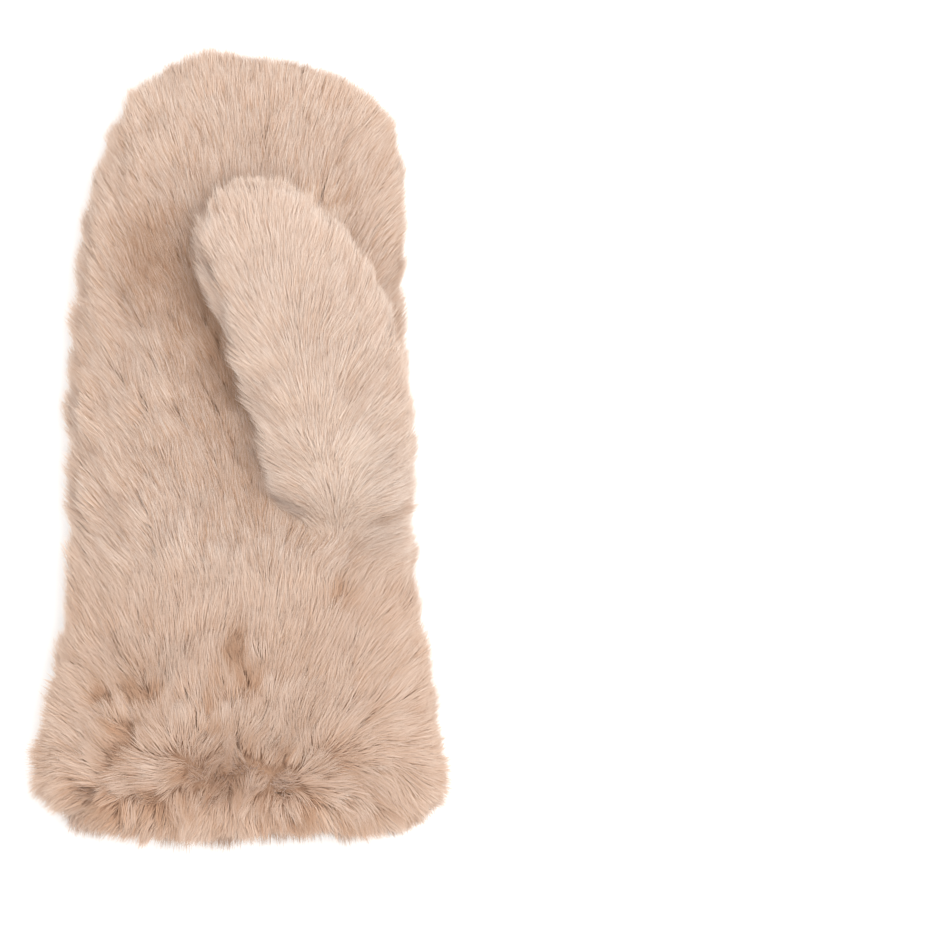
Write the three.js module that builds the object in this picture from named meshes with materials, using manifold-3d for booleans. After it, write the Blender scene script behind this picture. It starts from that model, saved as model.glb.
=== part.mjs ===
// A deep-pile fur mitten for the right hand, lying on its back with the thumb folded over the palm.
//
// Millimetres. +X runs across the palm to the thumb's side, +Y from the cuff to the fingertips and
// +Z up, out of the palm. The origin is the middle of the mitten's footprint, on the surface that it
// lies on. Every wall is one solid: a cloth backing with its pile, whose outer face has the form of
// the fur's locks. The five pieces are those that the maker sews together: the palm, the back of the
// hand, the thumb's outer and inner panels, and the turned-up cuff.

import * as THREE from 'three';
import { mergeVertices } from 'three/addons/utils/BufferGeometryUtils.js';
import Module from 'manifold-3d';

// How the sections are drawn and how finely
const SQUARENESS = 2.5; // 2 is an ellipse, and more is a fuller oblong
const HAND_COLUMNS = 60;
const THUMB_COLUMNS = 32;
const BOW_SHARPNESS = 6; // the higher, the nearer to a row's ends its rise stays
const POCKET_COLUMNS = 20;
const ROW_STEP = 5.6; // along the fur, from one row of points to the next
const POCKET_STEP = 16;
const CLEARANCE = 0.5; // between two sewn pieces
const FLATNESS = 0.06; // how far a point may lie from the plane of the faces that replace its own

// The fur's locks: each rises from its root to a blunt tip, and covers the root of the next
const LOCK = { columns: 4, rows: 3, height: 3.2, mean: 0.36, leastShare: 0.45 };

// The seam between palm and back is a plane that runs higher on the little finger's side
const SEAM = { height: 27, fallPerMm: 0.12, gap: 0.3, furrow: 2.2, furrowWidth: 5 };

// The seam round the thumb, between its outer panel and the inner one that lies on the palm
const THUMB_SEAM = {
  gap: 0.3,
  rows: [
    { y: -60, z: 28 },
    { y: -36, z: 28.5 },
    { y: -26, z: 32 },
    { y: -16, z: 38 },
    { y: -4, z: 46.5 },
    { y: 10, z: 53.5 },
    { y: 30, z: 57 },
    { y: 58, z: 58.4 },
    { y: 120, z: 57.6 },
  ],
};

// Outer form of the hand, from the wrist to the fingertips. left and right are the outermost x, low
// and top the outermost z, and locks is the share of the locks' relief. A low under 0 is fur that
// the mitten's weight presses flat.
const HAND = [
  { y: -61.5, left: -56.5, right: 57.2, low: 4.6, top: 39.5, locks: 0 },
  { y: -46.5, left: -56.8, right: 57.4, low: 4.6, top: 39.8, locks: 0 },
  { y: -41, left: -61.4, right: 62.8, low: -2, top: 43.4, locks: 0.7 },
  { y: -33, left: -61.8, right: 63.6, low: -2.8, top: 44.2, locks: 1 },
  { y: -10, left: -61.8, right: 64.2, low: -3.2, top: 45.4, locks: 1 },
  { y: 20, left: -61, right: 62.8, low: -3.2, top: 46, locks: 1 },
  { y: 50, left: -58.4, right: 60.4, low: -3.2, top: 46, locks: 1 },
  { y: 76, left: -56.4, right: 61.6, low: -3, top: 45, locks: 1 },
  { y: 98, left: -51.2, right: 60.2, low: -2, top: 42.4, locks: 1 },
  { y: 113, left: -45.6, right: 57.4, low: 0.5, top: 38.6, locks: 1 },
  { y: 124, left: -38.8, right: 49.6, low: 3.6, top: 34.8, locks: 0.9 },
  { y: 132.5, left: -29.8, right: 39, low: 7.6, top: 30.6, locks: 0.7 },
  { y: 138, left: -17.3, right: 22, low: 12.4, top: 26, locks: 0.3 },
  { y: 139.8, left: -8.8, right: 8, low: 16, top: 22.4, locks: 0 },
];

// The pocket for the fingers and the palm
const HAND_POCKET = [
  { y: -72, left: -47, right: 47, low: 13, top: 31 },
  { y: -20, left: -47, right: 47, low: 13, top: 31.5 },
  { y: 50, left: -44.5, right: 43.5, low: 13, top: 31.5 },
  { y: 84, left: -40.5, right: 43.5, low: 13.5, top: 31 },
  { y: 102, left: -34, right: 39.5, low: 14.5, top: 29.5 },
  { y: 115, left: -23, right: 28, low: 16.5, top: 27 },
  { y: 121, left: -9, right: 11, low: 19.5, top: 23.5 },
];

// Outer form of the thumb, from its root in the palm's wall to its tip. lean is how far its outer
// side droops, and its inner side lifts, because it lies across the palm.
const THUMB = [
  { y: -41, left: 34, right: 52, low: 24, top: 36, lean: 0, locks: 0 },
  { y: -36, left: 30, right: 58, low: 25, top: 43.4, lean: 0, locks: 0.2 },
  { y: -30, left: 25.5, right: 60.6, low: 26.5, top: 48.6, lean: 0.5, locks: 0.7 },
  { y: -23, left: 20.4, right: 62, low: 29.5, top: 53.6, lean: 1, locks: 1 },
  { y: -14, left: 15, right: 62.8, low: 34, top: 59.4, lean: 2, locks: 1 },
  { y: -4, left: 10, right: 63, low: 38.5, top: 64.4, lean: 3, locks: 1 },
  { y: 10, left: 5, right: 62.6, low: 42, top: 69.4, lean: 4, locks: 1 },
  { y: 26, left: -1, right: 60.6, low: 43.6, top: 73.4, lean: 4, locks: 1 },
  { y: 42, left: -6.6, right: 57, low: 44, top: 75.4, lean: 4, locks: 1 },
  { y: 54.5, left: -11.2, right: 53.2, low: 44, top: 75.8, lean: 4, locks: 1 },
  { y: 67.5, left: -15.2, right: 46.2, low: 44, top: 74.6, lean: 4, locks: 1 },
  { y: 78.5, left: -13.4, right: 37.4, low: 45, top: 71.6, lean: 3.5, locks: 1 },
  { y: 87, left: -7.8, right: 28, low: 47.6, top: 67.6, lean: 2.5, locks: 0.7 },
  { y: 92.5, left: -0.4, right: 19.4, low: 51.4, top: 63, lean: 1, locks: 0.3 },
  { y: 94.5, left: 5, right: 14, low: 54.8, top: 59.6, lean: 0, locks: 0 },
];

const THUMB_POCKET = [
  { y: -35, left: 33, right: 46, low: 22, top: 29, lean: 0 },
  { y: -27, left: 31, right: 47.5, low: 22.5, top: 36, lean: 0 },
  { y: -16, left: 27, right: 49, low: 27, top: 47, lean: 1 },
  { y: -3, left: 22.5, right: 49, low: 38, top: 54.6, lean: 2 },
  { y: 12, left: 17, right: 47.4, low: 47.4, top: 60, lean: 2 },
  { y: 38, left: 8, right: 42.6, low: 51.4, top: 64, lean: 2 },
  { y: 58.5, left: 0.4, right: 38, low: 52, top: 64.2, lean: 2 },
  { y: 72.5, left: -0.6, right: 30.6, low: 53.2, top: 62.8, lean: 1 },
  { y: 80.5, left: 6, right: 17, low: 56, top: 60.6, lean: 0 },
];

// The cuff is a ring: these rows go up its outer face from the rolled rim, over its lip and down
// the inside to the rim again. bow is how far a row's two ends rise above its middle.
const CUFF_OUTER = [
  { y: -138.4, left: -56.5, right: 58, low: 12, top: 39, bow: 4, locks: 0.2 },
  { y: -135.4, left: -64.3, right: 67.5, low: 4.8, top: 45.2, bow: 5.5, locks: 0.6 },
  { y: -128.6, left: -70.6, right: 72.8, low: -1, top: 50.2, bow: 5, locks: 1 },
  { y: -118, left: -72.6, right: 74.4, low: -3, top: 52.8, bow: 2, locks: 1 },
  { y: -103, left: -71, right: 73, low: -3.4, top: 53, bow: 0, locks: 1 },
  { y: -88, left: -67.8, right: 70.8, low: -3.2, top: 52.4, bow: 0, locks: 1 },
  { y: -72, left: -65.2, right: 68.8, low: -3, top: 50.4, bow: 0, locks: 1 },
  { y: -58, left: -61.4, right: 65.2, low: -2.6, top: 47.4, bow: 0, locks: 1 },
  { y: -48.4, left: -60.2, right: 62.6, low: -2, top: 44.2, bow: 0, locks: 0.4 },
];
const CUFF_INNER = [
  { y: -45.6, left: -59, right: 60.2, low: 1.6, top: 41.6, bow: 0 },
  { y: -48, left: -57.6, right: 58.2, low: 3.6, top: 40.6, bow: 0 },
  { y: -62, left: -57.4, right: 58.1, low: 3.7, top: 40.4, bow: 0 },
  { y: -62.6, left: -47.6, right: 47.6, low: 12.6, top: 31.4, bow: 0 },
  { y: -84, left: -48.6, right: 48.6, low: 12.6, top: 32, bow: 0 },
  { y: -108, left: -50, right: 50, low: 13, top: 33.4, bow: 1 },
  { y: -126, left: -51.4, right: 51.4, low: 13.6, top: 35, bow: 3 },
  { y: -135.4, left: -53, right: 53.8, low: 14.6, top: 36.4, bow: 4 },
];

// Hollows pressed into the pile: beside the thumb, where the pile parts over the cuff's fold, and
// the tucks above it
const DENTS = {
  hand: [
    { x: -14, y: 34, reachX: 20, reachY: 34, depth: 3 },
  ],
  cuff: [
    { x: 8, y: -109, reachX: 20, reachY: 8, depth: 2.6 },
    { x: -28, y: -112, reachX: 14, reachY: 7, depth: 1.8 },
    { x: -41, y: -83, reachX: 6, reachY: 6, depth: 2.8 },
    { x: -29, y: -83, reachX: 5, reachY: 7, depth: 2.6 },
    { x: 0, y: -69, reachX: 6, reachY: 8, depth: 2.6 },
  ],
};

const COLOURS = { palm: 0xcfb39f, back: 0xc9ab95, thumb: 0xdec3b1, cuff: 0xcbab95 };

const wasm = await Module();
wasm.setup();

// A smooth way through a table's rows. Its place is the row's number, and parts of rows count.
function through(rows) {
  const names = Object.keys(rows[0]);
  const places = rows.map((row, number) => number);
  const values = rows.flatMap((row) => names.map((name) => row[name]));
  const curve = new THREE.CubicInterpolant(places, values, names.length, []);
  return (place) => {
    const found = curve.evaluate(place);
    return Object.fromEntries(names.map((name, n) => [name, found[n]]));
  };
}

// Sections at even steps along a form's right-hand outline
function spaced(rows, step) {
  const at = through(rows);
  const fine = 24; // samples in each of the table's steps
  const last = (rows.length - 1) * fine;
  const lengths = [0];
  for (let n = 1; n <= last; n += 1) {
    const [from, to] = [at((n - 1) / fine), at(n / fine)];
    lengths.push(lengths[n - 1] + Math.hypot(to.y - from.y, to.right - from.right));
  }
  const count = Math.ceil(lengths[last] / step);
  return Array.from({ length: count + 1 }, (unused, n) => {
    const wanted = (lengths[last] * n) / count;
    const after = Math.max(1, lengths.findIndex((length) => length >= wanted - 1e-9));
    const share = (wanted - lengths[after - 1]) / (lengths[after] - lengths[after - 1]);
    return at((after - 1 + share) / fine);
  });
}

// A section: a rounded oblong that stands across the Y axis
class Section extends THREE.Curve {
  constructor({ y, left, right, low, top, lean = 0, bow = 0 }) {
    super();
    Object.assign(this, { y, left, right, low, top, lean, bow });
  }

  getPoint(t, target = new THREE.Vector3()) {
    const angle = 2 * Math.PI * t;
    const rounded = (v) => Math.sign(v) * Math.abs(v) ** (2 / SQUARENESS);
    const [across, up] = [rounded(Math.cos(angle)), rounded(Math.sin(angle))];
    return target.set(
      (this.left + this.right + across * (this.right - this.left)) / 2,
      this.y + this.bow * Math.abs(across) ** BOW_SHARPNESS,
      (this.low + this.top + up * (this.top - this.low)) / 2 - this.lean * across,
    );
  }

  points(columns) {
    return this.getSpacedPoints(columns).slice(0, columns);
  }
}

// The skin through rings of points. Closed rings meet end to end, and others get a cap at each end.
function skin(rings, closed) {
  const columns = rings[0].length;
  const points = rings.flat();
  const index = [];
  for (let j = 0; j < rings.length - (closed ? 0 : 1); j += 1) {
    const next = (j + 1) % rings.length;
    for (let i = 0; i < columns; i += 1) {
      const beside = (i + 1) % columns;
      const [a, b] = [j * columns + i, next * columns + i];
      const [c, d] = [next * columns + beside, j * columns + beside];
      index.push(a, b, c, a, c, d);
    }
  }
  if (!closed) {
    [0, rings.length - 1].forEach((j) => {
      const centre = points.length;
      const sum = rings[j].reduce((total, p) => total.add(p), new THREE.Vector3());
      points.push(sum.divideScalar(columns));
      for (let i = 0; i < columns; i += 1) {
        const [a, b] = [j * columns + i, j * columns + ((i + 1) % columns)];
        index.push(centre, ...(j === 0 ? [a, b] : [b, a]));
      }
    });
  }
  const geometry = new THREE.BufferGeometry().setFromPoints(points);
  return geometry.setIndex(index);
}

// A number from 0 to 1 that looks random, and is the same in each run
function chance(a, b) {
  const wave = Math.sin(a * 127.1 + b * 311.7) * 43758.5453;
  return wave - Math.floor(wave);
}

// How far a lock stands over the backing's mean pile, at a ring's number and a column's number
function lockHeight(ring, column, columns) {
  const row = Math.floor(ring / LOCK.rows);
  const rise = (ring % LOCK.rows) / (LOCK.rows - 1);
  const shift = row % 2 ? LOCK.columns / 2 : 0; // each row of locks covers the joints of the last
  const place = (column + shift) % columns;
  const across = (2 * (place % LOCK.columns)) / LOCK.columns - 1;
  const size = LOCK.leastShare + (1 - LOCK.leastShare) * chance(Math.floor(place / LOCK.columns), row);
  return LOCK.height * (rise * size * (1 - across * across) - LOCK.mean);
}

function dentDepth(point, dents) {
  const pressed = dents.map(({ x, y, reachX, reachY, depth }) => {
    const away = ((point.x - x) / reachX) ** 2 + ((point.y - y) / reachY) ** 2;
    return depth * Math.exp(-away);
  });
  return pressed.reduce((total, depth) => total + depth, 0);
}

// Moves each point of a skin out by the growth, and those of its first rows by the fur's relief
// too. What would reach below the surface that the mitten lies on is pressed flat.
function furred(geometry, columns, rows, relief, growth = 0) {
  geometry.computeVertexNormals();
  const place = geometry.getAttribute('position');
  const normals = geometry.getAttribute('normal');
  for (let n = 0; n < place.count; n += 1) {
    const point = new THREE.Vector3().fromBufferAttribute(place, n);
    const out = new THREE.Vector3().fromBufferAttribute(normals, n);
    const ring = Math.floor(n / columns);
    const row = rows[ring];
    const raised = row ? relief(point, out, row.locks * lockHeight(ring, n % columns, columns)) : 0;
    point.addScaledVector(out, raised + growth);
    place.setXYZ(n, point.x, point.y, Math.max(point.z, 0));
  }
  return geometry;
}

function solid(geometry) {
  const bare = new THREE.BufferGeometry();
  bare.setAttribute('position', geometry.getAttribute('position'));
  bare.setIndex(geometry.index);
  const merged = mergeVertices(bare, 1e-4);
  return new wasm.Manifold(
    new wasm.Mesh({
      numProp: 3,
      vertProperties: merged.getAttribute('position').array,
      triVerts: new Uint32Array(merged.index.array),
    }),
  );
}

function meshOf(made, name, colour) {
  const { vertProperties, triVerts } = made.asOriginal().simplify(FLATNESS).getMesh();
  const geometry = new THREE.BufferGeometry();
  geometry.setAttribute('position', new THREE.BufferAttribute(vertProperties, 3));
  geometry.setIndex(new THREE.BufferAttribute(triVerts, 1));
  const flat = geometry.toNonIndexed();
  flat.computeVertexNormals();
  const material = new THREE.MeshStandardMaterial({ color: colour, roughness: 0.95, metalness: 0 });
  const mesh = new THREE.Mesh(flat, material);
  mesh.name = name;
  return mesh;
}

function seamHeight(x) {
  return SEAM.height - SEAM.fallPerMm * x;
}

// A block on one side of the seam, and half of the seam's gap past it
function seamSide(side) {
  const size = 400;
  const block = new THREE.BoxGeometry(size, size, size);
  block.translate(0, 0, (side * (size - SEAM.gap)) / 2);
  block.rotateY(Math.atan(SEAM.fallPerMm));
  block.translate(0, 0, SEAM.height);
  return solid(block);
}

// The space on one side of the thumb's seam: 1 is above it and -1 is below it
function thumbSeamSide(side) {
  const far = 400;
  const rings = THUMB_SEAM.rows.map(({ y, z }) => {
    const edge = z + (side * THUMB_SEAM.gap) / 2;
    const [low, top] = side > 0 ? [edge, far] : [-far, edge];
    const corners = [[far, low], [far, top], [-far, top], [-far, low]];
    return corners.map(([x, height]) => new THREE.Vector3(x, y, height));
  });
  return solid(skin(rings, false));
}

function pocket(rows) {
  const rings = spaced(rows, POCKET_STEP).map((row) => new Section(row).points(POCKET_COLUMNS));
  return solid(skin(rings, false));
}

function handForm() {
  const rows = spaced(HAND, ROW_STEP);
  const rings = rows.map((row) => new Section(row).points(HAND_COLUMNS));
  const relief = (point, out, lock) => {
    if (point.y < HAND[1].y) return 0; // the cuff covers it
    const underThumb = thumbCovers(point) ? 0 : 1;
    const fromSeam = (point.z - seamHeight(point.x)) / SEAM.furrowWidth;
    const furrow = SEAM.furrow * Math.exp(-fromSeam * fromSeam);
    const dent = out.z > 0 ? dentDepth(point, DENTS.hand) : 0;
    return underThumb * lock - furrow - dent;
  };
  return solid(furred(skin(rings, false), HAND_COLUMNS, rows, relief));
}

// True on the palm where the thumb lies over it, which needs no relief
function thumbCovers({ x, y, z }) {
  const after = THUMB.findIndex((row) => row.y >= y);
  if (after < 1 || z < SEAM.height) return false;
  const [from, to] = [THUMB[after - 1], THUMB[after]];
  const share = (y - from.y) / (to.y - from.y);
  const left = THREE.MathUtils.lerp(from.left, to.left, share);
  const right = THREE.MathUtils.lerp(from.right, to.right, share);
  return x > left - CLEARANCE && x < right + CLEARANCE;
}

function thumbForm(growth) {
  const rows = spaced(THUMB, ROW_STEP);
  const rings = rows.map((row) => new Section(row).points(THUMB_COLUMNS));
  const relief = (point, out, lock) => {
    return THREE.MathUtils.smoothstep(out.z, -0.4, 0.2) * lock; // its underside lies on the palm
  };
  return solid(furred(skin(rings, false), THUMB_COLUMNS, rows, relief, growth));
}

function cuffForm() {
  const rows = spaced(CUFF_OUTER, ROW_STEP);
  const rings = [...rows, ...CUFF_INNER].map((row) => new Section(row).points(HAND_COLUMNS));
  const relief = (point, out, lock) => lock - (out.z > 0 ? dentDepth(point, DENTS.cuff) : 0);
  return solid(furred(skin(rings, true), HAND_COLUMNS, rows, relief));
}

function buildMitten() {
  const hollow = pocket(HAND_POCKET).add(pocket(THUMB_POCKET));
  const hand = handForm().subtract(thumbForm(CLEARANCE)).subtract(hollow);
  const thumb = thumbForm(0).subtract(hollow);

  const mitten = new THREE.Group();
  mitten.name = 'fur_mitten';
  mitten.add(
    meshOf(hand.subtract(seamSide(-1)), 'palm', COLOURS.palm),
    meshOf(hand.subtract(seamSide(1)), 'back', COLOURS.back),
    meshOf(thumb.intersect(thumbSeamSide(1)), 'thumb', COLOURS.thumb),
    meshOf(thumb.intersect(thumbSeamSide(-1)), 'thumb_back', COLOURS.thumb),
    meshOf(cuffForm(), 'cuff', COLOURS.cuff),
  );

  const box = new THREE.Box3().setFromObject(mitten);
  const middle = box.getCenter(new THREE.Vector3());
  mitten.children.forEach((mesh) => mesh.position.set(-middle.x, -middle.y, -box.min.z));
  return mitten;
}

export default buildMitten();
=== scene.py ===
"""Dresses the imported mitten: five panels of fur cloth, and on each of them its underfur and guard
hairs, combed the way that the real pile lies. Everything is in metres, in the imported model's frame."""

import math

import bmesh
import bpy
import numpy as np
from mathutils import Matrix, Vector, noise
from mathutils.bvhtree import BVHTree


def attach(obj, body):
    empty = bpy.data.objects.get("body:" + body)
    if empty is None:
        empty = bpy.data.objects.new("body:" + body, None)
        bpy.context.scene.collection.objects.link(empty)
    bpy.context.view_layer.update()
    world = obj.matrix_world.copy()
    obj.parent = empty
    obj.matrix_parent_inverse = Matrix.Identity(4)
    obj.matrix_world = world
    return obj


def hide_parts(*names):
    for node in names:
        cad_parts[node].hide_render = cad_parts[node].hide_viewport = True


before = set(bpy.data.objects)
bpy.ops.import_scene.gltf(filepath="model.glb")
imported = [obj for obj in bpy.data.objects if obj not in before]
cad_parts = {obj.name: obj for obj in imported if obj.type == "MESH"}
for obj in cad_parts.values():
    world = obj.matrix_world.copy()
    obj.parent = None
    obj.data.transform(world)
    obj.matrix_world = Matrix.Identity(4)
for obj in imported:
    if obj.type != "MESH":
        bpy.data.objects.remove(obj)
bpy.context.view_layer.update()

MM = 0.001

# The camera looks straight down, with the mitten in the left half of its picture
CAMERA_PLACE = (80.8 * MM, -7.4 * MM, 3.0)
FRAME_WIDTH = 331.2 * MM  # what the picture spans at the height of the mitten's outline
OUTLINE_HEIGHT = 20 * MM

# The cloth under the pile
VOXEL = 2.4 * MM
SMOOTHING_ROUNDS = 10
PILE_HEIGHT = 6.5 * MM  # from the cloth to the hairs' tips, square to the cloth
MOST_RISE = 1.15  # of a hair, as a share of the pile's height there
LEAST_WALL = 2.0 * MM
CLOTH_HEIGHT = 1.0 * MM  # of the lowest cloth above the floor, for the hair under it
NEAR_FLOOR = 6 * MM  # cloth that faces down and is lower than this lies on the floor
FLOOR_COVER = 0.45  # how much of the full pile grows there
FULL_ROOM = 9 * MM  # with less than this before it, the pile is pressed down
LEAST_SHARE = 0.1
PRESSED_PAINTED_SHADE = 0.45  # painted shade: how much darker the pile's colour is where it is pressed down
CONTACT = 1.5 * MM  # cloth that is nearer to other cloth than this carries no hair
POCKET_SIDES = 12  # of fourteen directions that end on cloth, for a point that is inside
REACH = 80 * MM

# The hairs
HAIR_LENGTH = 11.5 * MM
LIFT = 0.55  # the hair's rise from the cloth, as a share of its run along it
FLAT_LIFT = 0.04
UPHILL_PRESS = 1.7  # how much flatter hairs lie that are combed up a slope
FLOOR_GAP = 0.3 * MM
LOOSE_STRAY, LOOSE_LOCKING, LOOSE_PATCHES = 0.12, 0.6, 1.2  # what is added where the pile is loose
BOW_HEIGHT = 8 * MM  # from this height above the floor the hairs are fully bowed

# Where the pile's direction changes, in millimetres
SPINE = {"y": (-24, -14, 4, 25, 60, 95), "x": (34, 35.5, 26.5, 25, 18, 8)}  # along the thumb
PARTING = {"y": -112.0, "left": -17.0, "right": 10.0, "width": 10.0, "wander": 9.0}
OPENING_HEIGHT = 24.0  # of the middle of the cuff's opening above the floor
CLEFT_SHORTER = 0.6  # how much shorter the hairs are in a cleft, for each part of its darkness

# The pile's clefts, creases and shades: where each begins and ends, how far it reaches to its
# sides, how hard it pushes the hairs aside, how much darker the pile's colour is in it (painted shade of
# its depth over the browner roots that show there; below nothing it is lighter, painted light on the
# thumb's shaded root) and how much looser it is in it
CLEFTS = [
    {"from": (-48, -85), "to": (-46, -89), "reach": 2.6, "push": 1.2, "dark": 0.7, "loose": 1.0},
    {"from": (-37, -84), "to": (-32, -89), "reach": 2.8, "push": 1.4, "dark": 0.8, "loose": 1.0},
    {"from": (-30.5, -86), "to": (-28.5, -88), "reach": 2.4, "push": 0.9, "dark": 0.5, "loose": 1.0},
    {"from": (-43, -97), "to": (-36, -99), "reach": 3.0, "push": 0.9, "dark": 0.35, "loose": 1.0},
    {"from": (-41, -107), "to": (-37, -103), "reach": 2.8, "push": 1.1, "dark": 0.6, "loose": 1.0},
    {"from": (-2.4, -76), "to": (-1.5, -68), "reach": 2.6, "push": 1.2, "dark": 0.6, "loose": 1.0},
    {"from": (-5, -84), "to": (4, -80), "reach": 5.0, "push": 0.4, "dark": 0.15, "loose": 1.0},
    {"from": (34, -50), "to": (36, -58), "reach": 2.6, "push": 0.8, "dark": 0.35, "loose": 0.8},
    {"from": (0, -108.5), "to": (9, -110.5), "reach": 5.0, "push": 0.4, "dark": 0.28, "loose": 1.0},
    {"from": (-18, -114), "to": (-8, -115), "reach": 4.6, "push": 0.4, "dark": 0.2, "loose": 1.0},
    {"from": (16, -112), "to": (44, -107), "reach": 4.0, "push": 0.3, "dark": 0.12, "loose": 0.8},
    {"from": (-50, -118), "to": (-40, -122), "reach": 4.6, "push": 0.5, "dark": 0.25, "loose": 1.0},
    {"from": (-28, -121), "to": (-24, -128), "reach": 4.0, "push": 0.5, "dark": 0.22, "loose": 0.9},
    {"from": (22, -122), "to": (25, -128), "reach": 3.4, "push": 0.5, "dark": 0.2, "loose": 0.8},
    {"from": (-8, -98), "to": (2, -88), "reach": 8.0, "push": 0.1, "dark": 0.12, "loose": 0.9},
    {"from": (43, -29.5), "to": (62, -19), "reach": 1.7, "push": 0.3, "dark": 0.3, "loose": 0.0},
    {"from": (-6, 80), "to": (-5.4, 78), "reach": 2.0, "push": 0.4, "dark": 0.35, "loose": 0.3},
    {"from": (-50, -126), "to": (50, -128), "reach": 11.0, "push": 0.0, "dark": 0.12, "loose": 0.8},
    {"from": (-46, -98), "to": (-20, -96), "reach": 16.0, "push": 0.0, "dark": 0.0, "loose": 0.5},
    {"from": (-40, -46), "to": (10, -46), "reach": 12.0, "push": 0.0, "dark": -0.08, "loose": 0.0},
    {"from": (38, -12), "to": (58, -20), "reach": 15.0, "push": 0.0, "dark": -0.2, "loose": 0.0},
]

# The painted shadow that the thumb casts on the palm's pile beside it, in the same measures, and
# the height in millimetres that it stays below
SHADOWS = [
    {"from": (-10, 52), "to": (1, 16), "reach": 5.5, "dark": 0.42},
    {"from": (-31, 70), "to": (-28, 56), "reach": 12.0, "dark": 0.26},
    {"from": (-22, 62), "to": (8, -20), "reach": 14.0, "dark": 0.24},
]
SHADOW_TOP = 47.0

# Where the outline is set right after the form has been softened, in millimetres: the middle of
# each shift, how far it reaches, the shift itself, and the height from which it counts
NUDGES = [
    {"at": (-62, -48), "reach": 8.0, "by": (-2.6, 0.0), "above": -9.0},
    {"at": (62, -46), "reach": 8.0, "by": (3.0, 0.0), "above": -9.0},
    {"at": (-66, -138), "reach": 16.0, "by": (3.5, 4.0), "above": -9.0},
    {"at": (-48, -139), "reach": 18.0, "by": (0.0, 3.4), "above": -9.0},
    {"at": (-20, -139), "reach": 18.0, "by": (0.0, 2.7), "above": -9.0},
    {"at": (10, -139), "reach": 18.0, "by": (0.0, 4.8), "above": -9.0},
    {"at": (38, -139), "reach": 18.0, "by": (0.0, 3.1), "above": -9.0},
    {"at": (20, 139), "reach": 14.0, "by": (0.0, -1.6), "above": -9.0},
    {"at": (72, -136), "reach": 16.0, "by": (-2.6, 2.6), "above": -9.0},
    {"at": (64, -22), "reach": 14.0, "by": (-2.0, 0.0), "above": -9.0},
    {"at": (-64, -30), "reach": 12.0, "by": (2.0, 0.0), "above": -9.0},
    {"at": (13, -14), "reach": 9.0, "by": (-1.2, -1.6), "above": 48.0},
    {"at": (24, -24), "reach": 8.0, "by": (-1.0, -2.2), "above": 46.0},
]

# Where two pieces run into each other without a step, and the pile hides the join. More rounds
# soften it more
BLENDS = [
    {"from": (-44, -46), "to": (46, -46), "reach": 10.0, "rounds": 24},
    {"from": (40, -30), "to": (58, -23), "reach": 12.0, "rounds": 40},
]

# The seam of the hand shows along the little finger's side, and is hidden by the pile elsewhere. Along
# it the pile is shorter, and a little darker as painted shade in its groove
SEAM = {"height": 27.0, "fall": 0.12, "reach": 2.6, "from_y": -44.0, "shorter": 0.3, "dark": 0.02}

# How much the pile varies, each with the distance in millimetres over which it does
TOUSLE = {"hand": 0.75, "cuff": 1.1, "parting": 2.0, "reach": 14.0, "slow": 0.26, "quick": 0.36}
LIFT_CHANGE = {"hand": 0.16, "cuff": 0.22, "over": 9.0}
LENGTH_CHANGE = {"broad": 0.16, "broad_over": 14.0, "fine": 0.2, "fine_over": 8.0}
LUMPS = {"left": 0.3, "right": 0.12, "over": 11.0}

# One row for each panel: how many hairs of each kind it carries, how light they are (partly their
# own tone and partly painted light, lighter on the thumb and darker on the cuff), how firmly they are
# drawn into locks, how far they stray, how many locks stand on a square metre, and how much the hairs
# differ in tint
PANELS = {
    "palm": {
        "underfur": 40000,
        "guard": 82000,
        "tint": 0.54,
        "locking": 0.42,
        "stray": 0.18,
        "locks": 26000.0,
        "spread": 0.95,
    },
    "back": {
        "underfur": 30000,
        "guard": 60000,
        "tint": 0.57,
        "locking": 0.45,
        "stray": 0.2,
        "locks": 14000.0,
        "spread": 0.7,
    },
    "thumb": {
        "underfur": 25000,
        "guard": 56000,
        "tint": 0.65,
        "locking": 0.13,
        "stray": 0.15,
        "locks": 26000.0,
        "spread": 0.7,
    },
    "thumb_back": {
        "underfur": 9000,
        "guard": 16000,
        "tint": 0.66,
        "locking": 0.2,
        "stray": 0.18,
        "locks": 20000.0,
        "spread": 0.6,
    },
    "cuff": {
        "underfur": 46000,
        "guard": 96000,
        "tint": 0.46,
        "locking": 0.32,
        "stray": 0.24,
        "locks": 26000.0,
        "spread": 0.42,
    },
}


def linear(hex_colour):
    """An sRGB hex colour as the linear RGBA that Blender's sockets take."""
    channels = [int(hex_colour[n : n + 2], 16) / 255 for n in (1, 3, 5)]
    values = [c / 12.92 if c <= 0.04045 else ((c + 0.055) / 1.055) ** 2.4 for c in channels]
    return (*values, 1.0)


def add_node(tree, kind, inputs=None, **settings):
    """Adds a node with its settings. An input is a value, or another node's output to link."""
    node = tree.nodes.new(kind)
    for name, value in settings.items():
        setattr(node, name, value)
    for key, value in (inputs or {}).items():
        if isinstance(value, bpy.types.NodeSocket):
            tree.links.new(value, node.inputs[key])
        else:
            node.inputs[key].default_value = value
    return node


def ramp(tree, factor, stops):
    """A colour ramp through stops of place and sRGB colour."""
    node = add_node(tree, "ShaderNodeValToRGB", {0: factor})
    elements = node.color_ramp.elements
    while len(elements) < len(stops):
        elements.new(0.5)
    for element, (place, colour) in zip(elements, stops):
        element.position = place
        element.color = linear(colour)
    return node.outputs["Color"]


def new_material(name, **shader_values):
    material = bpy.data.materials.new(name)
    material.use_nodes = True
    tree = material.node_tree
    shader = tree.nodes["Principled BSDF"]
    for key, value in shader_values.items():
        shader.inputs[key.replace("_", " ")].default_value = value
    return material, tree, shader


# Materials


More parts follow.
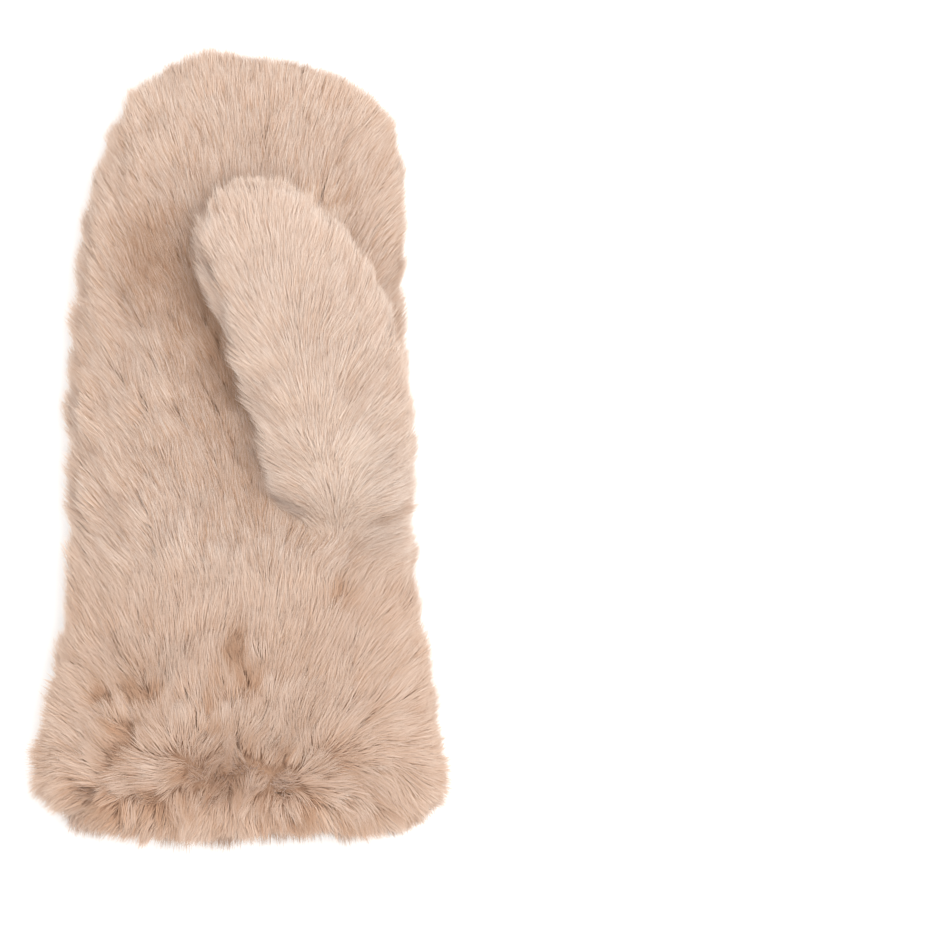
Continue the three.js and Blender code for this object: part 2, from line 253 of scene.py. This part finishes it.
def acrylic_pile():
    """Acrylic fur fibre: matt and soft, browner at the root and pale towards the tip, partly the fibre's
    own colour and partly painted shade deep in the pile, where little light comes. u in its map is the
    hair's tint, with the painted light and shade that it carries, and v is the place along the hair."""
    material, tree, shader = new_material("acrylic fur pile", Roughness=0.72, Sheen_Weight=0.25)
    place = add_node(tree, "ShaderNodeUVMap", uv_map="OFBake").outputs["UV"]
    split = add_node(tree, "ShaderNodeSeparateXYZ", {0: place})
    # The dark ramp serves the hairs' own darker tone and the painted shade alike
    dark = ramp(tree, split.outputs["Y"], [(0.0, "#9f7354"), (0.4, "#b68d6f"), (1.0, "#c5a083")])
    pale = ramp(tree, split.outputs["Y"], [(0.0, "#c9a184"), (0.4, "#e1cab7"), (1.0, "#eee1d6")])
    mixed = add_node(
        tree, "ShaderNodeMix", {0: split.outputs["X"], 6: dark, 7: pale}, data_type="RGBA"
    )
    tree.links.new(mixed.outputs[2], shader.inputs["Base Color"])
    return material


def pile_ground():
    """The foot of the pile: a dense brown-beige felt that shows only where the hairs part."""
    material, tree, shader = new_material("fur cloth, pile side", Roughness=0.9)
    place = add_node(tree, "ShaderNodeTexCoord").outputs["Object"]
    grain = add_node(tree, "ShaderNodeTexNoise", {"Vector": place, "Scale": 900.0, "Detail": 3.0})
    colour = ramp(tree, grain.outputs["Fac"], [(0.3, "#9a785f"), (0.7, "#b18f76")])
    tree.links.new(colour, shader.inputs["Base Color"])
    bump = add_node(
        tree, "ShaderNodeBump", {"Height": grain.outputs["Fac"], "Distance": 0.4 * MM}
    )
    tree.links.new(bump.outputs["Normal"], shader.inputs["Normal"])
    return material


def knitted_backing():
    """The plain knitted back of the fur cloth, which lines the pocket: matt beige yarn in fine
    ribs 1.4 mm apart."""
    material, tree, shader = new_material("fur cloth, knitted back", Roughness=0.85)
    place = add_node(tree, "ShaderNodeTexCoord").outputs["Object"]
    rib = add_node(
        tree,
        "ShaderNodeTexWave",
        {"Vector": place, "Scale": 225.0, "Distortion": 1.2, "Detail": 1.0},
        bands_direction="X",
    )
    stitch = add_node(
        tree,
        "ShaderNodeTexWave",
        {"Vector": place, "Scale": 300.0, "Distortion": 0.8, "Detail": 1.0},
        bands_direction="Y",
    )
    knit = add_node(
        tree,
        "ShaderNodeMath",
        {0: rib.outputs["Fac"], 1: stitch.outputs["Fac"]},
        operation="MULTIPLY",
    )
    colour = ramp(tree, knit.outputs[0], [(0.0, "#a58d7b"), (0.8, "#cdb8a6")])
    tree.links.new(colour, shader.inputs["Base Color"])
    bump = add_node(tree, "ShaderNodeBump", {"Height": knit.outputs[0], "Distance": 0.5 * MM})
    tree.links.new(bump.outputs["Normal"], shader.inputs["Normal"])
    return material


# The cloth


def object_of(mesh, name):
    thing = bpy.data.objects.new(name, mesh)
    bpy.context.scene.collection.objects.link(thing)
    return thing


def as_plain_mesh(thing):
    """The thing's evaluated mesh, with its modifiers applied. The thing itself is removed."""
    graph = bpy.context.evaluated_depsgraph_get()
    mesh = bpy.data.meshes.new_from_object(thing.evaluated_get(graph))
    bpy.data.objects.remove(thing)
    return mesh


def merged(node):
    form = bmesh.new()
    form.from_mesh(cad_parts[node].data)
    bmesh.ops.remove_doubles(form, verts=form.verts, dist=0.001 * MM)
    return form


def whole_form():
    """The five solids as one even, softened mesh. Their small gaps close in it."""
    joined = bpy.data.meshes.new("mitten form")
    together = bmesh.new()
    for node in PANELS:
        part = merged(node)
        part.to_mesh(joined)
        part.free()
        together.from_mesh(joined)
    together.to_mesh(joined)
    together.free()
    thing = object_of(joined, "mitten form")
    remesh = thing.modifiers.new("even", "REMESH")
    remesh.mode = "VOXEL"
    remesh.voxel_size = VOXEL
    smooth = thing.modifiers.new("soften", "SMOOTH")
    smooth.factor = 0.5
    smooth.iterations = SMOOTHING_ROUNDS
    return as_plain_mesh(thing)


def array_of(collection, name, width):
    values = np.empty(len(collection) * width, np.float32)
    collection.foreach_get(name, values)
    return values.reshape(-1, width) if width > 1 else values


def averaged(values, edges, rounds):
    """Each value with its neighbours' along the mesh's edges, over and over."""
    count = np.ones(len(values))
    np.add.at(count, edges.ravel(), 1)
    count = count.reshape(-1, *[1] * (values.ndim - 1))
    for _ in range(rounds):
        total = values.copy()
        np.add.at(total, edges[:, 0], values[edges[:, 1]])
        np.add.at(total, edges[:, 1], values[edges[:, 0]])
        values = total / count
    return values


def unit(vectors):
    return vectors / np.maximum(np.linalg.norm(vectors, axis=1, keepdims=True), 1e-9)


def free_way(tree, start, out):
    """How far a ray gets before it ends on cloth or on the floor."""
    hit = tree.ray_cast(start + out * 0.3 * MM, out, REACH)
    way = REACH if hit[0] is None else hit[3] + 0.3 * MM
    return min(way, max(start.z, 0) / -out.z) if out.z < -0.05 else way


def survey(tree, places, normals):
    """For each point of the cloth: the room before it, the wall behind it, and if it is inside."""
    room, wall = np.empty(len(places)), np.empty(len(places))
    inside = np.zeros(len(places), bool)
    steps = [Vector((x, y, z)) for x in (-1, 0, 1) for y in (-1, 0, 1) for z in (-1, 0, 1)]
    axes = [step.normalized() for step in steps if step.length_squared in (1, 3)]
    for n, (place, normal) in enumerate(zip(places, normals)):
        start, out = Vector(place), Vector(normal)
        side = out.orthogonal() * 0.45
        other = out.cross(side)
        ways = [out, out + side, out - side, out + other, out - other]
        room[n] = np.median([free_way(tree, start, way.normalized()) for way in ways])
        back = tree.ray_cast(start - out * 0.3 * MM, -out, REACH)
        wall[n] = REACH if back[0] is None else back[3]
        above = start + out * 0.6 * MM
        ends = sum(tree.ray_cast(above, axis, REACH)[0] is not None for axis in axes)
        inside[n] = ends >= POCKET_SIDES
    return room, wall, inside


def nearest_panel(places):
    """The number of the panel whose solid lies nearest to each point."""
    trees = []
    for node in PANELS:
        form = merged(node)
        trees.append(BVHTree.FromBMesh(form))
        form.free()
    away = [[tree.find_nearest(Vector(p))[3] for p in places] for tree in trees]
    return np.argmin(np.array(away), axis=0)


def wander(places, pitch_mm, seed):
    """A slow random value from -1 to 1 for each point."""
    scale = 1 / (pitch_mm * MM)
    return np.array([noise.noise(Vector(p) * scale + Vector((seed, 0, 0))) for p in places])


def turned(directions, angles):
    """The directions turned about Z."""
    cos, sin = np.cos(angles), np.sin(angles)
    x, y = directions[:, 0], directions[:, 1]
    return np.stack([x * cos - y * sin, x * sin + y * cos, directions[:, 2]], axis=1)


def hand_comb(p):
    """On the hand the pile is stroked up to the fingertips and over them, and fans out to both
    sides. Under the thumb's root it sweeps out to the hand's edge."""
    places, leans = [-62, -54, -30, 0, 30, 50, 62], [-1.1, -0.75, -0.4, -0.1, 0.25, 0.7, 1.1]
    lean = np.interp(p[:, 0], places, leans)
    under = np.interp(p[:, 0], [16, 38, 58], [0.0, 0.9, 2.4])
    lean += under * np.interp(p[:, 1], [-60, -48, -26, -8], [0, 1, 1, 0])
    return unit(np.stack([lean, np.ones(len(p)), np.full(len(p), -0.35)], axis=1))


def thumb_comb(p):
    """On the thumb it falls to both sides of a spine, which runs from the root to the tip."""
    off = p[:, 0] - np.interp(p[:, 1], SPINE["y"], SPINE["x"])
    left = np.interp(p[:, 1], [-25, 20, 60, 90], [1.0, 0.8, 0.55, 0.35])
    right = np.interp(p[:, 1], [-30, -10, 20, 60], [2.6, 1.3, 0.6, 0.4])
    lean = np.where(off < 0, left * np.tanh(off / 7), right * np.tanh(off / 16))
    return unit(np.stack([lean, np.ones(len(p)), np.zeros(len(p))], axis=1))


def cuff_comb(p):
    """On the cuff it springs from the parting: up and out above it, down and out below it. It
    falls over the cuff's sides, and over its rim into the opening."""
    x, y = p[:, 0], p[:, 1]
    line = PARTING["y"] + PARTING["wander"] * wander(p * MM, 17, 31)
    below = np.clip((line - y) / PARTING["width"], -1, 1)
    share = (0.5 + 0.5 * np.sin(below * math.pi / 2))[:, None]
    out = x - np.clip(x, PARTING["left"], PARTING["right"])
    up = unit(np.stack([out, np.maximum(y - PARTING["y"], 0) + 14, -0.8 * np.abs(out)], axis=1))
    inward = -0.5 * np.tanh((p[:, 2] - OPENING_HEIGHT) / 6)
    down = unit(np.stack([x / 72, -np.ones(len(p)), inward], axis=1))
    return up * (1 - share) + down * share


def nearness(p, line):
    """How near each point is to a line on the mitten's upper side, from 0 to 1, with the way from
    the line to the point and its length."""
    start, way = np.array(line["from"]), np.subtract(line["to"], line["from"])
    along = np.clip((p[:, :2] - start) @ way / (way @ way), 0, 1)
    away = p[:, :2] - start - along[:, None] * way
    far = np.linalg.norm(away, axis=1)
    return np.exp(-((far / line["reach"]) ** 2)) * (p[:, 2] > 20), away, far


def corrected(places, normals, edges):
    """The form with its outline set right, and its joins filled and rounded off."""
    for nudge in NUDGES:
        far = np.linalg.norm(places[:, :2] / MM - nudge["at"], axis=1)
        near = np.exp(-((far / nudge["reach"]) ** 2)) * (places[:, 2] > nudge["above"] * MM)
        places[:, :2] += near[:, None] * np.array(nudge["by"]) * MM
    for line in BLENDS:
        near = nearness(places / MM, line)[0] * (normals[:, 2] > 0.3)
        near = np.minimum(1.0, 1.4 * near)[:, None]
        for _ in range(line["rounds"]):
            places = places * (1 - near) + averaged(places, edges, 1) * near
    return places


def parted(p, comb):
    """The pile opens along each cleft, and the shade of its depth is painted into its colour there;
    beside the thumb, the thumb's shadow is painted on the palm's pile.
    """
    shade, loose = np.zeros(len(p)), np.zeros(len(p))
    for cleft in CLEFTS:
        near, away, far = nearness(p, cleft)
        comb[:, :2] += (cleft["push"] * near / np.maximum(far, 2.0))[:, None] * away
        # Painted shade of the cleft's depth, partly the browner roots that show in it
        shade += cleft["dark"] * near
        loose += cleft["loose"] * near
    # The thumb's painted shadow on the palm's pile
    for shadow in SHADOWS:
        shade += shadow["dark"] * nearness(p, shadow)[0] * (p[:, 2] < SHADOW_TOP)
    return comb, shade, np.minimum(loose, 1.0)


def seam_depth(p, panel):
    """How near each point is to the seam round the hand, from 0 to 1."""
    away = (p[:, 2] - SEAM["height"] + SEAM["fall"] * p[:, 0]) / SEAM["reach"]
    names = list(PANELS)
    of_hand = (panel == names.index("palm")) | (panel == names.index("back"))
    shows = of_hand & (p[:, 1] > SEAM["from_y"]) & (p[:, 0] < 0)
    return np.exp(-away * away) * shows * np.clip((95 - p[:, 1]) / 20, 0, 1)


def set_right(mesh):
    """Moves the mesh's points to the corrected form. Returns them, their normals, and the edges."""
    places = array_of(mesh.vertices, "co", 3).astype(float)
    normals = unit(array_of(mesh.vertices, "normal", 3).astype(float))
    edges = np.empty(len(mesh.edges) * 2, np.int32)
    mesh.edges.foreach_get("vertices", edges)
    edges = edges.reshape(-1, 2)
    places = corrected(places, normals, edges)
    mesh.vertices.foreach_set("co", places.astype(np.float32).ravel())
    mesh.update()
    return places, unit(array_of(mesh.vertices, "normal", 3).astype(float)), edges


def room_for_pile(room, inside, on_floor, edges):
    """Which cloth carries hair, from 0 to 1, and which share of its full height the pile has."""
    bare = inside | ((room < CONTACT) & ~on_floor)
    cover = np.where(averaged(bare.astype(float), edges, 1) > 0.5, 0.0, 1.0)
    cover = np.where(on_floor, FLOOR_COVER * cover, cover)
    share = np.clip(room / FULL_ROOM, LEAST_SHARE, 1.0)
    share = share * share * (3 - 2 * share)
    return cover, np.where(inside, 0.0, averaged(np.where(inside, 0.0, share), edges, 4))


def combed(places, normals, edges, panel, inside, share):
    """The way each hair lies and its length, as one vector, with how much darker its colour is painted
    as shade, how much looser the pile is, and the share of its height that is left beside the seam."""
    p = places / MM
    combs = [hand_comb(p), hand_comb(p), thumb_comb(p), thumb_comb(p), cuff_comb(p)]
    comb = np.choose(panel[:, None], combs)
    comb, shade, loose = parted(p, averaged(comb, edges, 5))
    # Painted shade where the pile is pressed down in tight places, as under the thumb and by the floor
    shade += PRESSED_PAINTED_SHADE * (1 - share) * ~inside
    seam = seam_depth(p, panel) * (0.65 + 0.7 * wander(places, 16, 41))
    share = share * (1 - SEAM["shorter"] * seam)
    # Painted shade in the seam's groove
    shade += SEAM["dark"] * seam
    on_cuff = panel == list(PANELS).index("cuff")
    at_parting = np.exp(-(((p[:, 1] - PARTING["y"]) / TOUSLE["reach"]) ** 2))
    of_cuff = TOUSLE["cuff"] + TOUSLE["parting"] * at_parting
    tousle = np.where(on_cuff, of_cuff, TOUSLE["hand"])
    slow, quick = wander(places, 18, 3), wander(places, 9, 9) + 0.6 * wander(places, 5.5, 13)
    comb = turned(comb, tousle * (TOUSLE["slow"] * slow + TOUSLE["quick"] * quick))
    along = comb - normals * np.sum(comb * normals, axis=1, keepdims=True)
    along = along / np.maximum(np.linalg.norm(along, axis=1, keepdims=True), 0.7)
    change = np.where(on_cuff, LIFT_CHANGE["cuff"], LIFT_CHANGE["hand"])
    lift = FLAT_LIFT + (LIFT + change * wander(places, LIFT_CHANGE["over"], 5)) * share
    lift *= np.clip(1 - UPHILL_PRESS * along[:, 2], 0.2, 1.0)
    broad = LENGTH_CHANGE["broad"] * wander(places, LENGTH_CHANGE["broad_over"], 7)
    fine = LENGTH_CHANGE["fine"] * wander(places, LENGTH_CHANGE["fine_over"], 51)
    uneven = 1 + broad + fine
    uneven *= 1 - CLEFT_SHORTER * np.clip(shade, 0, 0.7)
    length = HAIR_LENGTH * (0.6 + 0.4 * share) * uneven
    nap = unit(along + normals * lift[:, None])
    rise = np.maximum(np.sum(nap * normals, axis=1), 0.02)
    length = np.minimum(length, (MOST_RISE * PILE_HEIGHT * share + 0.6 * MM) / rise)
    return nap * length[:, None], shade, loose, share


def dressed_form():
    """The cloth's mesh, drawn in by the pile's height, with the way that its hairs lie."""
    mesh = whole_form()
    places, normals, edges = set_right(mesh)
    form = bmesh.new()
    form.from_mesh(mesh)
    tree = BVHTree.FromBMesh(form)
    form.free()

    room, wall, inside = survey(tree, places, normals)
    inside = averaged(inside.astype(float), edges, 2) > 0.5
    panel = nearest_panel(places)
    on_floor = (normals[:, 2] < -0.5) & (places[:, 2] < NEAR_FLOOR)
    cover, share = room_for_pile(room, inside, on_floor, edges)
    nap, shade, loose, share = combed(places, normals, edges, panel, inside, share)

    p = places / MM
    lumpy = np.where(p[:, 0] < 0, LUMPS["left"], LUMPS["right"])
    lumps = 1 + lumpy * wander(places, LUMPS["over"], 61)
    inset = np.minimum(PILE_HEIGHT * share, np.maximum(wall - LEAST_WALL, 0))
    inset = averaged(inset, edges, 2) * ~inside * lumps
    places = places - normals * inset[:, None]
    places[:, 2] = np.maximum(places[:, 2], CLOTH_HEIGHT)
    mesh.vertices.foreach_set("co", places.astype(np.float32).ravel())
    # Each point's tone from its panel, partly painted light, less the painted shade of clefts, shadows,
    # seam and pressed pile
    tints = np.array([row["tint"] for row in PANELS.values()])[panel]
    kept = {"nap": nap, "cover": cover, "light": averaged(tints, edges, 8) - shade, "loose": loose}
    for name, values in kept.items():
        vectors = values.ndim > 1
        made = mesh.attributes.new(name, "FLOAT_VECTOR" if vectors else "FLOAT", "POINT")
        field = "vector" if vectors else "value"
        made.data.foreach_set(field, values.astype(np.float32).ravel())
    mesh.update()
    return mesh, panel, inside


def panels_of(mesh, panel, inside, pile_side, pocket_side):
    """The cloth cut into its five panels along the seams."""
    things = {}
    for number, name in enumerate(PANELS):
        form = bmesh.new()
        form.from_mesh(mesh)
        form.verts.ensure_lookup_table()
        others = []
        for face in form.faces:
            mine = [panel[v.index] for v in face.verts]
            if max(set(mine), key=lambda n: (mine.count(n), n)) != number:
                others.append(face)
            face.material_index = int(sum(inside[v.index] for v in face.verts) > 2)
            face.smooth = True
        bmesh.ops.delete(form, geom=others, context="FACES")
        cut = bpy.data.meshes.new(name + "_cloth")
        form.to_mesh(cut)
        form.free()
        cut.materials.append(pile_side)
        cut.materials.append(pocket_side)
        things[name] = object_of(cut, name + "_cloth")
    return things


# The hairs


def strand():
    """One lock of hairs, one unit long: bowed, widest at its belly and pointed at both ends."""
    belly, width, bow = 0.4, 0.0125, 0.14
    corners = [
        {"place": (0, 0, 0), "rise": 0, "side": 0},
        {"place": (bow, -width, belly), "rise": belly, "side": -1},
        {"place": (bow, width, belly), "rise": belly, "side": 1},
        {"place": (0, 0, 1), "rise": 1, "side": 0},
    ]
    form = bmesh.new()
    rise = form.verts.layers.float.new("rise")
    side = form.verts.layers.float.new("side")
    for corner in corners:
        vert = form.verts.new(corner["place"])
        vert[rise] = corner["rise"]
        vert[side] = corner["side"]
    root, left, right, tip = form.verts
    for loop in ((root, left, right), (tip, right, left)):
        form.faces.new(loop).smooth = True
    mesh = bpy.data.meshes.new("strand")
    form.to_mesh(mesh)
    form.free()
    return object_of(mesh, "strand")


def fur_tree():
    """Scatters strands over a panel. Each leans along the panel's nap, strays a little, and is
    drawn to the tip of the guide hair that stands nearest, which makes the pile's small locks."""
    tree = bpy.data.node_groups.new("fur", "GeometryNodeTree")
    face = tree.interface
    face.new_socket("Panel", in_out="INPUT", socket_type="NodeSocketGeometry")
    face.new_socket("Strand", in_out="INPUT", socket_type="NodeSocketObject")
    face.new_socket("Pile", in_out="INPUT", socket_type="NodeSocketMaterial")
    face.new_socket("Seed", in_out="INPUT", socket_type="NodeSocketInt")
    for name in (
        "Hairs per square metre",
        "Guides per square metre",
        "Locks per square metre",
        "Length",
        "Width",
        "Stray",
        "Clumping",
        "Locking",
        "Tint",
        "Tint spread",
        "Tint patches",
    ):
        face.new_socket(name, in_out="INPUT", socket_type="NodeSocketFloat")
    face.new_socket("Fur", in_out="OUTPUT", socket_type="NodeSocketGeometry")
    given = add_node(tree, "NodeGroupInput").outputs

    def named(name, kind="FLOAT"):
        return add_node(
            tree, "GeometryNodeInputNamedAttribute", {"Name": name}, data_type=kind
        ).outputs[0]

    def vector(operation, *inputs):
        return add_node(tree, "ShaderNodeVectorMath", dict(inputs), operation=operation).outputs

    def number(operation, a, b):
        return add_node(tree, "ShaderNodeMath", {0: a, 1: b}, operation=operation).outputs[0]

    def chance(low, high, seed_step):
        seed = number("ADD", given["Seed"], seed_step)
        node = add_node(tree, "FunctionNodeRandomValue", {2: low, 3: high}, data_type="FLOAT")
        tree.links.new(seed, node.inputs["Seed"])
        return node.outputs[1]

    def scatter(density, seed_step):
        kept = number("MULTIPLY", density, named("cover"))
        seed = number("ADD", given["Seed"], seed_step)
        return add_node(
            tree,
            "GeometryNodeDistributePointsOnFaces",
            {"Mesh": given["Panel"], "Density": kept, "Seed": seed},
        ).outputs

    here = add_node(tree, "GeometryNodeInputPosition").outputs[0]
    nap = named("nap", "FLOAT_VECTOR")

    def nearest_tip(density, seed_step):
        guides = scatter(density, seed_step)["Points"]
        guide_tip = vector("ADD", (0, here), (1, nap))[0]
        nearest = add_node(
            tree, "GeometryNodeSampleNearest", {"Geometry": guides, "Sample Position": here}
        ).outputs[0]
        return add_node(
            tree,
            "GeometryNodeSampleIndex",
            {"Geometry": guides, "Value": guide_tip, "Index": nearest},
            data_type="FLOAT_VECTOR",
        ).outputs[0]

    def drawn_to(tip, aim, share, seed_step):
        drawn = number("MULTIPLY", share, chance(0.3, 1.0, seed_step))
        node = add_node(tree, "ShaderNodeMix", {0: drawn, 4: tip, 5: aim}, data_type="VECTOR")
        return node.outputs[1]

    # Each strand's own tip, then the one that its lock draws it to
    roots = scatter(given["Hairs per square metre"], 2)
    own_length = number("MULTIPLY", given["Length"], chance(0.78, 1.12, 3))
    straight = vector("SCALE", (0, nap), ("Scale", own_length))[0]
    stray = add_node(
        tree, "FunctionNodeRandomValue", {0: (-1, -1, -1), 1: (1, 1, 1)}, data_type="FLOAT_VECTOR"
    )
    tree.links.new(number("ADD", given["Seed"], 4), stray.inputs["Seed"])
    loose = named("loose")
    wildness = number("ADD", given["Stray"], number("MULTIPLY", loose, LOOSE_STRAY))
    reach = number("MULTIPLY", vector("LENGTH", (0, straight))["Value"], wildness)
    strayed = vector("SCALE", (0, stray.outputs[0]), ("Scale", reach))[0]
    own_tip = vector("ADD", (0, here), (1, vector("ADD", (0, straight), (1, strayed))[0]))[0]
    tip = drawn_to(own_tip, nearest_tip(given["Guides per square metre"], 1), given["Clumping"], 5)
    locking = number("ADD", given["Locking"], number("MULTIPLY", loose, LOOSE_LOCKING))
    tip = drawn_to(tip, nearest_tip(given["Locks per square metre"], 8), locking, 9)
    parts = add_node(tree, "ShaderNodeSeparateXYZ", {0: tip}).outputs
    height = number("MAXIMUM", parts["Z"], FLOOR_GAP)
    tip = add_node(tree, "ShaderNodeCombineXYZ", {0: parts["X"], 1: parts["Y"], 2: height})
    chord = vector("SUBTRACT", (0, tip.outputs[0]), (1, here))[0]
    length = vector("LENGTH", (0, chord))["Value"]

    # Its tint, its turn and its size
    patches = add_node(tree, "ShaderNodeTexNoise", {"Vector": here, "Scale": 150.0, "Detail": 3.0})
    patchy = number("ADD", given["Tint patches"], number("MULTIPLY", loose, LOOSE_PATCHES))
    uneven = number("MULTIPLY", number("SUBTRACT", patches.outputs[0], 0.5), patchy)
    speckle = number("MULTIPLY", chance(-0.5, 0.5, 6), given["Tint spread"])
    tint = number("ADD", number("ADD", given["Tint"], uneven), speckle)
    # The cloth's painted light and shade under the hair
    tint = number("ADD", tint, named("light"))
    tint = add_node(tree, "ShaderNodeClamp", {0: tint, 1: 0.02, 2: 0.98}).outputs[0]
    tinted = add_node(
        tree,
        "GeometryNodeStoreNamedAttribute",
        {"Geometry": roots["Points"], "Name": "tint", "Value": tint},
        data_type="FLOAT",
        domain="POINT",
    ).outputs[0]
    upright = add_node(
        tree, "FunctionNodeAlignRotationToVector", {"Vector": chord}, axis="Z"
    ).outputs[0]
    bowed = add_node(
        tree,
        "FunctionNodeAlignRotationToVector",
        {"Rotation": upright, "Vector": roots["Normal"]},
        axis="X",
        pivot_axis="Z",
    ).outputs[0]
    across = number("MULTIPLY", number("MULTIPLY", length, given["Width"]), chance(0.7, 1.3, 7))
    root_height = add_node(tree, "ShaderNodeSeparateXYZ", {0: here}).outputs["Z"]
    bow = add_node(tree, "ShaderNodeMapRange", {0: root_height, 2: BOW_HEIGHT, 3: 0.1}).outputs[0]
    bow = number("MULTIPLY", bow, length)
    size = add_node(tree, "ShaderNodeCombineXYZ", {0: bow, 1: across, 2: length}).outputs[0]
    shape = add_node(tree, "GeometryNodeObjectInfo", {"Object": given["Strand"]})
    placed = add_node(
        tree,
        "GeometryNodeInstanceOnPoints",
        {
            "Points": tinted,
            "Instance": shape.outputs["Geometry"],
            "Rotation": bowed,
            "Scale": size,
        },
    ).outputs[0]
    real = add_node(tree, "GeometryNodeRealizeInstances", {0: placed}).outputs[0]
    u = number("ADD", named("tint"), number("MULTIPLY", named("side"), 0.004))
    place = add_node(tree, "ShaderNodeCombineXYZ", {0: u, 1: named("rise")}).outputs[0]
    mapped = add_node(
        tree,
        "GeometryNodeStoreNamedAttribute",
        {"Geometry": real, "Name": "OFBake", "Value": place},
        data_type="FLOAT2",
        domain="CORNER",
    ).outputs[0]
    finished = add_node(
        tree, "GeometryNodeSetMaterial", {"Geometry": mapped, "Material": given["Pile"]}
    ).outputs[0]
    add_node(tree, "NodeGroupOutput", {0: finished})
    return tree


def covered_area(mesh):
    """The panel's area in square metres, counting each face by its share of hair."""
    cover = array_of(mesh.attributes["cover"].data, "value", 1)
    return sum(f.area * np.mean([cover[v] for v in f.vertices]) for f in mesh.polygons)


def grow(tree, cloth, name, values):
    """Runs the fur tree on a panel, and keeps the result as a plain mesh."""
    thing = object_of(cloth.data.copy(), name)
    modifier = thing.modifiers.new("fur", "NODES")
    modifier.node_group = tree
    for item in tree.interface.items_tree:
        if item.in_out == "INPUT" and item.name in values:
            modifier[item.identifier] = values[item.name]
    mesh = as_plain_mesh(thing)
    for spare in ("tint", "rise", "side"):
        if spare in mesh.attributes:
            mesh.attributes.remove(mesh.attributes[spare])
    mesh.name = name
    return object_of(mesh, name)


def fur_on(tree, cloth, name, row, shape, pile, seed):
    area = covered_area(cloth.data)
    common = {"Strand": shape, "Pile": pile}
    layers = {
        "underfur": {
            "Hairs per square metre": row["underfur"] / area,
            "Guides per square metre": 60000.0,
            "Locks per square metre": row["locks"],
            "Length": 0.74,
            "Width": 1.1,
            "Stray": 0.34,
            "Clumping": 0.25,
            "Locking": 0.7 * row["locking"],
            "Tint": -0.06,
            "Tint spread": 0.6 * row["spread"],
            "Tint patches": 0.45,
            "Seed": seed,
        },
        "guard_hair": {
            "Hairs per square metre": row["guard"] / area,
            "Guides per square metre": 130000.0,
            "Locks per square metre": row["locks"],
            "Length": 1.0,
            "Width": 0.56,
            "Stray": row["stray"],
            "Clumping": 0.35,
            "Locking": row["locking"],
            "Tint": 0.0,
            "Tint spread": row["spread"],
            "Tint patches": 0.55,
            "Seed": seed + 50,
        },
    }
    return [
        grow(tree, cloth, name + "_" + layer, {**common, **values})
        for layer, values in layers.items()
    ]


# The studio


def studio():
    camera = bpy.data.cameras.new("camera")
    camera.lens = camera.sensor_width * (CAMERA_PLACE[2] - OUTLINE_HEIGHT) / FRAME_WIDTH
    seen = bpy.data.objects.new("camera", camera)
    seen.location = CAMERA_PLACE
    bpy.context.scene.collection.objects.link(seen)
    bpy.context.scene.camera = seen

    bpy.ops.mesh.primitive_plane_add(size=6, location=(0, 0, 0))
    floor = bpy.context.object
    floor.name = "floor"
    paper, _, shader = new_material("white light table", Roughness=0.9, Emission_Strength=0.16)
    shader.inputs["Base Color"].default_value = linear("#f7f7f6")
    shader.inputs["Emission Color"].default_value = linear("#ffffff")
    floor.data.materials.append(paper)

    world = bpy.data.worlds.new("studio")
    world.use_nodes = True
    world.node_tree.nodes["Background"].inputs["Color"].default_value = linear("#ffffff")
    world.node_tree.nodes["Background"].inputs["Strength"].default_value = 1.0
    bpy.context.scene.world = world
    for name, place, size, power in (
        ("key softbox", (0.45, 0.15, 1.5), 0.8, 12.0),
        ("top softbox", (0.0, 0.0, 1.9), 1.4, 11.0),
    ):
        light = bpy.data.lights.new(name, "AREA")
        light.shape = "SQUARE"
        light.size = size
        light.energy = power
        lamp = bpy.data.objects.new(name, light)
        lamp.location = place
        lamp.rotation_euler = (-Vector(place)).to_track_quat("-Z", "Y").to_euler()
        bpy.context.scene.collection.objects.link(lamp)
    bpy.context.scene.view_settings.view_transform = "Standard"


def main():
    studio()
    pile, ground, backing = acrylic_pile(), pile_ground(), knitted_backing()
    mesh, panel, inside = dressed_form()
    cloths = panels_of(mesh, panel, inside, ground, backing)
    shape, tree = strand(), fur_tree()
    for number, (name, row) in enumerate(PANELS.items()):
        cloth = cloths[name]
        furs = fur_on(tree, cloth, name, row, shape, pile, 11 + number)
        for attribute in ("nap", "cover", "light", "loose"):
            cloth.data.attributes.remove(cloth.data.attributes[attribute])
        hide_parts(name)
        for piece in (cloth, *furs):
            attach(piece, "root")
    bpy.data.objects.remove(shape)


main()
